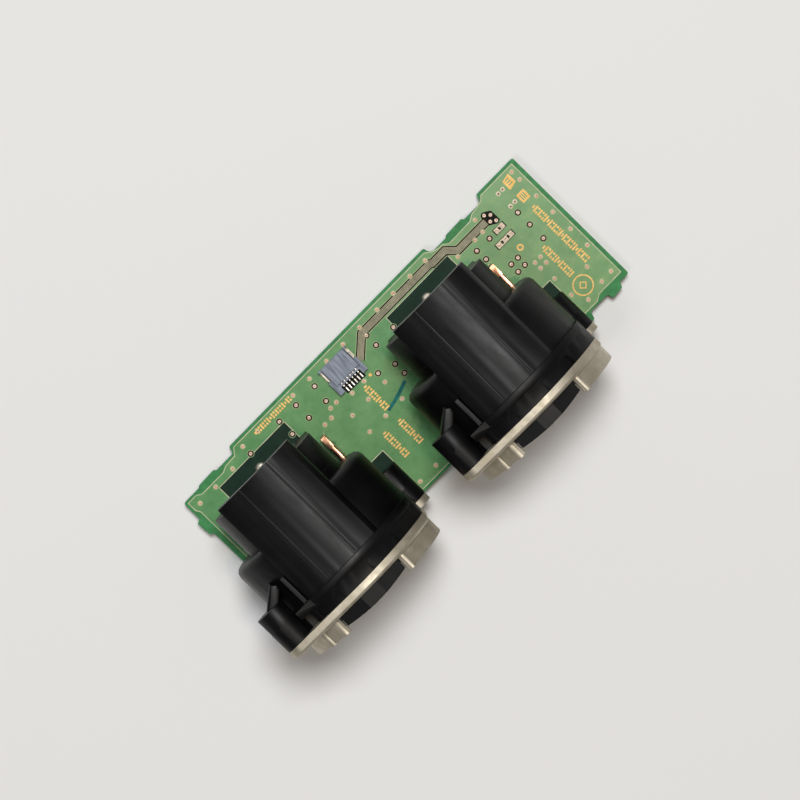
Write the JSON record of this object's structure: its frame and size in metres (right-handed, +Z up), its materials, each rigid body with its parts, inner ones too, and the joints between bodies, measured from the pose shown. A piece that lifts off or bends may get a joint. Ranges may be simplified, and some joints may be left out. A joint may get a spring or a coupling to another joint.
{
  "type": "audio input connector board",
  "caption": "Long green circuit board with latching round audio sockets facing one long edge and a small lidded flat-cable connector between them.",
  "frame": {"origin": "middle of the circuit board's underside, without its tabs and steps", "axes": "+X along the board towards the end away from the left socket, -Y out of the socket mouths, +Z up from the board's component side"},
  "size_m": [0.0624, 0.0255, 0.0235],
  "materials": {
    "board": "green solder mask over copper on a glass-fibre board, satin",
    "black_plastic": "black moulded plastic, satin with a slight blue-grey sheen",
    "nickel_plate": "dull nickel plating, warm grey",
    "silver_contact": "bright silver plating",
    "bronze_contact": "bare phosphor bronze, satin",
    "spring_steel": "plain spring steel sheet",
    "solder_tin": "tinned solder tail, bright",
    "grey_plastic": "blue-grey moulded plastic, matte"
  },
  "bodies": {
    "board": {"pcb": "board", "ffc_housing": "grey_plastic", "ffc_contact_1": "solder_tin", "ffc_contact_2": "solder_tin", "ffc_contact_3": "solder_tin", "ffc_contact_4": "solder_tin", "ffc_contact_5": "solder_tin", "ffc_contact_6": "solder_tin", "ffc_hold_down_left": "solder_tin", "ffc_hold_down_right": "solder_tin", "left_housing": "black_plastic", "left_front_plate": "nickel_plate", "left_contact_insert": "black_plastic", "left_contact_1": "silver_contact", "left_contact_2": "silver_contact", "left_contact_3": "silver_contact", "left_ground_contact": "bronze_contact", "left_latch_spring": "spring_steel", "right_housing": "black_plastic", "right_front_plate": "nickel_plate", "right_contact_insert": "black_plastic", "right_contact_1": "silver_contact", "right_contact_2": "silver_contact", "right_contact_3": "silver_contact", "right_ground_contact": "bronze_contact", "right_latch_spring": "spring_steel"},
    "left_button": {"left_release_button": "black_plastic"},
    "right_button": {"right_release_button": "black_plastic"},
    "left_latch": {"left_latch_hook": "spring_steel"},
    "right_latch": {"right_latch_hook": "spring_steel"},
    "ffc_lid": {"ffc_flap": "grey_plastic"}
  },
  "joints": [
    {"name": "left_button_press", "type": "slide", "parent": "board", "child": "left_button", "axis": [0, 1, 0], "range_m": [0, 0.0012], "stiffness_N_per_m": 300, "springref_m": -0.001},
    {"name": "left_latch_lift", "type": "hinge", "parent": "board", "child": "left_latch", "pos_m": [-0.02, 0.0026, 0.02116], "axis": [-1, 0, 0], "range_deg": [0, 2.2]},
    {"name": "right_button_press", "type": "slide", "parent": "board", "child": "right_button", "axis": [0, 1, 0], "range_m": [0, 0.0012], "stiffness_N_per_m": 300, "springref_m": -0.001},
    {"name": "right_latch_lift", "type": "hinge", "parent": "board", "child": "right_latch", "pos_m": [0.01, 0.0026, 0.02116], "axis": [-1, 0, 0], "range_deg": [0, 2.2]},
    {"name": "ffc_lid_turn", "type": "hinge", "parent": "board", "child": "ffc_lid", "pos_m": [-0.00398, 0.00657, 0.002], "axis": [1, 0, 0], "range_deg": [0, 90]}
  ],
  "couplings": [
    {"joint": "left_latch_lift", "follows": "left_button_press", "rad_per_m": 31.4},
    {"joint": "right_latch_lift", "follows": "right_button_press", "rad_per_m": 31.4}
  ]
}
